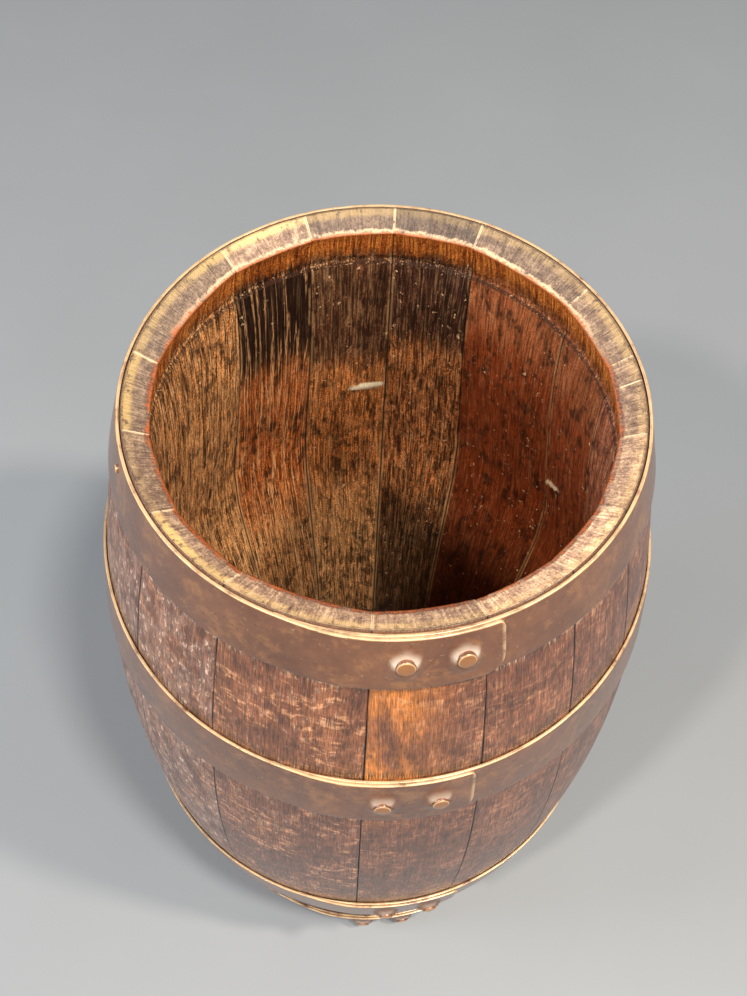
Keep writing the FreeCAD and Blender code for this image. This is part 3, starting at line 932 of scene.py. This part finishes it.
def stripWearAndHighlights(w, place, colour, roughness, scuffs):     # rubbed bright edges and lap end, partly painted highlight along the top edge, and a painted highlight on the upper side of each boss
    fromTop, edge, fromTip = w.stored("spot").parts()
    _, upside, boss = w.stored("layer").parts()
    height = place.parts()[2]
    sideRub = edge.ramp(0.5 * mm, 0.15 * mm) * scuffs.ramp(0.44, 0.56) * 0.45
    tipRub = fromTip.ramp(2.6 * mm, 0.8 * mm) * scuffs.ramp(0.36, 0.54) * 0.8
    # the top edge: rubbed bright, and partly a painted highlight where it faces up
    topRubAndHighlight = fromTop.ramp(0.7 * mm, 0.2 * mm) * scuffs.ramp(0.30, 0.46)
    threads = w.stored("grain").streaks(40, 40, 3600, 2.0).ramp(0.40, 0.56)
    edgeRubAndHighlight = (sideRub + tipRub + topRubAndHighlight * (threads * 0.7 + 0.25)).least(1.0)
    colour = colour.mixed(ironLook["rubbedEdgeAndHighlight"], edgeRubAndHighlight)
    colour = colour.mixed(ironLook["boss"], boss.ramp(0.0, 0.7) * 0.4)
    # painted highlight on the upper side of each boss, broken up by scuffs and brighter on the higher hoops
    bossHighlight = upside.ramp(0.0, 1.1) * scuffs.ramp(0.22, 0.48) * height.ramp(420 * mm, 480 * mm, 0.42, 0.85)
    colour = colour.mixed(ironLook["paintedBossHighlight"], bossHighlight)
    lowSide = boss * (1 - upside)
    roughness = roughness + (0.30 - roughness) * bossHighlight + lowSide * 0.15
    return colour, roughness, bossHighlight * 0.30 + 0.25, (1 - lowSide) * 0.5


def pinWear(w, colour, clouds):                         # a bright rim round each hammered crown
    over = w.stored("layer").parts()[2]
    colour = colour.mixed(ironLook["crown"], over.above(0.6 * mm) * (clouds * 0.6 + 0.4))
    return colour.mixed(ironLook["crownEdge"], over.ramp(1.1 * mm, 0.4 * mm) * over.above(0.05 * mm) * 0.8)


def ironMaterial(name, worn):
    material, w = newMaterial(name)
    place = w.node("ShaderNodeTexCoord", None, None, "Object")
    clouds = place.noise(22.0, 5.0, 0.62)
    specks = place.noise(300.0, 3.0, 0.6)
    scuffs = place.moved(1, 2, 3).noise(60.0, 7.0, 0.72, 0.2)
    colour = (clouds * 0.6 + scuffs * 0.4).coloured(ironLook["stops"])
    colour = colour.mixed(ironLook["rust"], scuffs.ramp(0.52, 0.66) * 0.5)
    colour = colour.mixed(ironLook["pit"], specks.ramp(0.62, 0.70) * 0.4)
    colour = colour.mixed(ironLook["speck"], place.moved(4, 0, 1).noise(420.0, 2.0).ramp(0.68, 0.73) * 0.5)
    roughness = clouds * 0.25 + specks * 0.15 + scuffs * 0.15 + 0.10
    if worn == "strip":
        colour, roughness, metallic, coat = stripWearAndHighlights(w, place, colour, roughness, scuffs)
    else:
        colour = pinWear(w, colour, clouds)
        metallic = 0.3
        coat = 0.7
    relief = clouds * 0.6 + specks * 0.15 + scuffs * 0.5
    finishMaterial(w, colour, roughness, metallic, relief, {"Coat Weight": coat, "Coat Roughness": 0.17})
    print("iron material:", name)
    return material


def boardMaterial():
    material, w = newMaterial("bare head oak")
    place = w.node("ShaderNodeTexCoord", None, None, "Object")
    fine = place.streaks(800, 22, 800, 4.0, 0.6)
    clouds = place.streaks(30, 9, 30, 3.0, 0.6)
    colour = (fine * 0.6 + clouds * 0.4).coloured(boardLook["stops"])
    finishMaterial(w, colour, fine * 0.2 + 0.5, 0.0, fine * 0.5, {"Coat Weight": 0.0})
    return material


def floorMaterial():
    material, w = newMaterial("pale floor")
    place = w.node("ShaderNodeTexCoord", None, None, "Object")
    colour = place.noise(3.0, 3.0).coloured(stageLook["floorStops"])
    finishMaterial(w, colour, 0.6, 0.0, None, {})
    return material


# Stage

stageLook = {
    "floorSize": 6.0,
    "floorStops": [(0.3, (0.208, 0.228, 0.252)), (0.7, (0.222, 0.244, 0.270))],
    "worldColour": (0.93, 0.94, 0.97, 1),
    "worldStrength": 0.36,
    "cameraBack": 0.4108,
    "cameraHeight": 1.1032,
    "cameraPitch": 57.48,           # below the horizon, degrees
    "cameraYaw": -0.53,
    "cameraRoll": 2.81,
    "cameraLens": 43.4,
}
lampDistance = 2.6
lampLook = {                                    # turn round the barrel and lift above the rim, degrees
    "right": {"turn": -19, "lift": 55.5, "size": 0.20, "power": 64, "colour": (1.0, 0.86, 0.70)},
    "left": {"turn": -129, "lift": 51, "size": 0.20, "power": 52, "colour": (1.0, 0.86, 0.72)},
    "front": {"turn": -72, "lift": 32, "size": 0.45, "power": 9, "colour": (1.0, 0.96, 0.90)},
    "window": {"turn": -168, "lift": 27, "size": 1.00, "power": 36, "colour": (0.84, 0.92, 1.0)},
    "high": {"turn": -52, "lift": 67, "size": 0.30, "power": 72, "colour": (1.0, 0.93, 0.82)},
}


def makeCamera():
    pitch, yaw, roll = (math.radians(stageLook[key]) for key in ("cameraPitch", "cameraYaw", "cameraRoll"))
    ahead = Vector((math.sin(yaw) * math.cos(pitch), math.cos(yaw) * math.cos(pitch), -math.sin(pitch)))
    level = Vector((math.cos(yaw), -math.sin(yaw), 0))
    above = level.cross(ahead)
    right = level * math.cos(roll) + above * math.sin(roll)
    up = above * math.cos(roll) - level * math.sin(roll)
    turn = Matrix((right, up, -ahead)).transposed().to_4x4()
    camera = bpy.data.objects.new("camera", bpy.data.cameras.new("camera"))
    camera.data.lens = stageLook["cameraLens"]
    camera.matrix_world = Matrix.Translation((0, -stageLook["cameraBack"], stageLook["cameraHeight"])) @ turn
    scene.collection.objects.link(camera)
    scene.camera = camera


def addLamp(name, place, aim, size, power, colour):
    lamp = bpy.data.lights.new(name, "AREA")
    lamp.shape = "DISK"
    lamp.size = size
    lamp.energy = power
    lamp.color = colour
    holder = bpy.data.objects.new(name, lamp)
    direction = Vector(aim) - Vector(place)
    holder.matrix_world = Matrix.Translation(place) @ direction.to_track_quat("-Z", "Y").to_matrix().to_4x4()
    scene.collection.objects.link(holder)


def makeStage():
    half = stageLook["floorSize"] / 2
    mesh = bpy.data.meshes.new("floor")
    corners = [(-half, -half, 0), (half, -half, 0), (half, half, 0), (-half, half, 0)]
    mesh.from_pydata(corners, [], [(0, 1, 2, 3)])
    floor = bpy.data.objects.new("floor", mesh)
    mesh.materials.append(floorMaterial())
    scene.collection.objects.link(floor)
    rim = barrel["length"]
    for name, lamp in lampLook.items():
        turn, lift = math.radians(lamp["turn"]), math.radians(lamp["lift"])
        away = Vector((math.cos(turn) * math.cos(lift), math.sin(turn) * math.cos(lift), math.sin(lift)))
        aim = Vector((0, 0, rim))
        addLamp(name, aim + away * lampDistance, aim, lamp["size"], lamp["power"], lamp["colour"])
    world = bpy.data.worlds.new("studio")
    world.use_nodes = True
    background = world.node_tree.nodes["Background"]
    background.inputs["Color"].default_value = stageLook["worldColour"]
    background.inputs["Strength"].default_value = stageLook["worldStrength"]
    scene.world = world
    scene.view_settings.view_transform = "Standard"
    print("stage:", len(lampLook), "lamps")


makeCamera()
makeStage()
hoops = {node: hoopFacts(node) for node in hoopNodes}
makeStaves(oakMaterial(hoops))
makeHoops(ironMaterial("hoop iron", "strip"), hoops)
makePins(ironMaterial("rivet iron", "pin"))
bareOak = boardMaterial()
makeBoards(bareOak)
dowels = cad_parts["head_dowels"]
dowels.data.materials.clear()
dowels.data.materials.append(bareOak)
